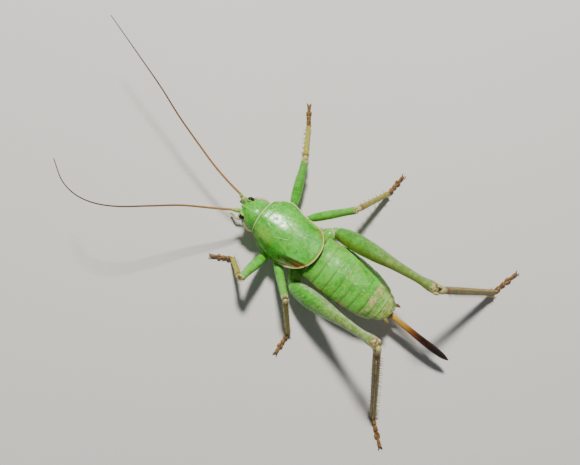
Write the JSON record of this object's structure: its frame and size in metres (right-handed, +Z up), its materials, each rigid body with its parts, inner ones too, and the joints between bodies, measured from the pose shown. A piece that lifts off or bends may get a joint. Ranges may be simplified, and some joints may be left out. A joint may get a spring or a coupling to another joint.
{
  "type": "bush-cricket",
  "caption": "Life-size still model of a wingless female bush-cricket standing on its feet, green, with a saddle-shaped shield, long feelers, jumping legs and a straight sword-like ovipositor.",
  "frame": {"origin": "middle of the underside of the whole outline, on the floor that the feet stand on", "axes": "+Z up, -Y toward the head, +X toward the animal's left side"},
  "size_m": [0.041, 0.079, 0.0173],
  "materials": {
    "green_shell": "smooth, slightly waxy green cuticle",
    "pale_green": "pale yellowish green cuticle",
    "green_leg": "green cuticle fading to olive toward the knee",
    "olive_leg": "olive-tan cuticle with brown specks",
    "foot": "brown cuticle",
    "tan": "hard brown jaw",
    "cream": "cream cuticle and skin between the rings",
    "eye": "dark glossy eye of many facets",
    "antenna": "golden tan at the base, dark brown farther out",
    "ovipositor": "golden brown blade, nearly black at the tip"
  },
  "bodies": {
    "root": {"head": "green_shell", "labrum": "pale_green", "eye_left": "eye", "scape_left": "pale_green", "palp_left": "cream", "mandible_left": "tan", "antenna_left_base": "antenna", "antenna_left_middle": "antenna", "antenna_left_tip": "antenna", "eye_right": "eye", "scape_right": "pale_green", "palp_right": "cream", "mandible_right": "tan", "antenna_right_base": "antenna", "antenna_right_middle": "antenna", "antenna_right_tip": "antenna", "pronotum": "green_shell", "thorax": "pale_green", "abdomen_ring_1": "green_shell", "abdomen_ring_2": "green_shell", "abdomen_ring_3": "green_shell", "abdomen_ring_4": "green_shell", "abdomen_ring_5": "green_shell", "abdomen_ring_6": "green_shell", "abdomen_ring_7": "cream", "abdomen_ring_8": "green_shell", "abdomen_end": "pale_green", "subgenital_plate": "pale_green", "cercus_left": "cream", "cercus_right": "cream", "ovipositor": "ovipositor", "coxa_fore_left": "pale_green", "femur_fore_left": "green_leg", "tibia_fore_left": "olive_leg", "tarsus_fore_left": "foot", "coxa_fore_right": "pale_green", "femur_fore_right": "green_leg", "tibia_fore_right": "olive_leg", "tarsus_fore_right": "foot", "coxa_mid_left": "pale_green", "femur_mid_left": "green_leg", "tibia_mid_left": "olive_leg", "tarsus_mid_left": "foot", "coxa_mid_right": "pale_green", "femur_mid_right": "green_leg", "tibia_mid_right": "olive_leg", "tarsus_mid_right": "foot", "coxa_hind_left": "pale_green", "femur_hind_left": "green_leg", "tibia_hind_left": "olive_leg", "tarsus_hind_left": "foot", "coxa_hind_right": "pale_green", "femur_hind_right": "green_leg", "tibia_hind_right": "olive_leg", "tarsus_hind_right": "foot"}
  },
  "joints": []
}
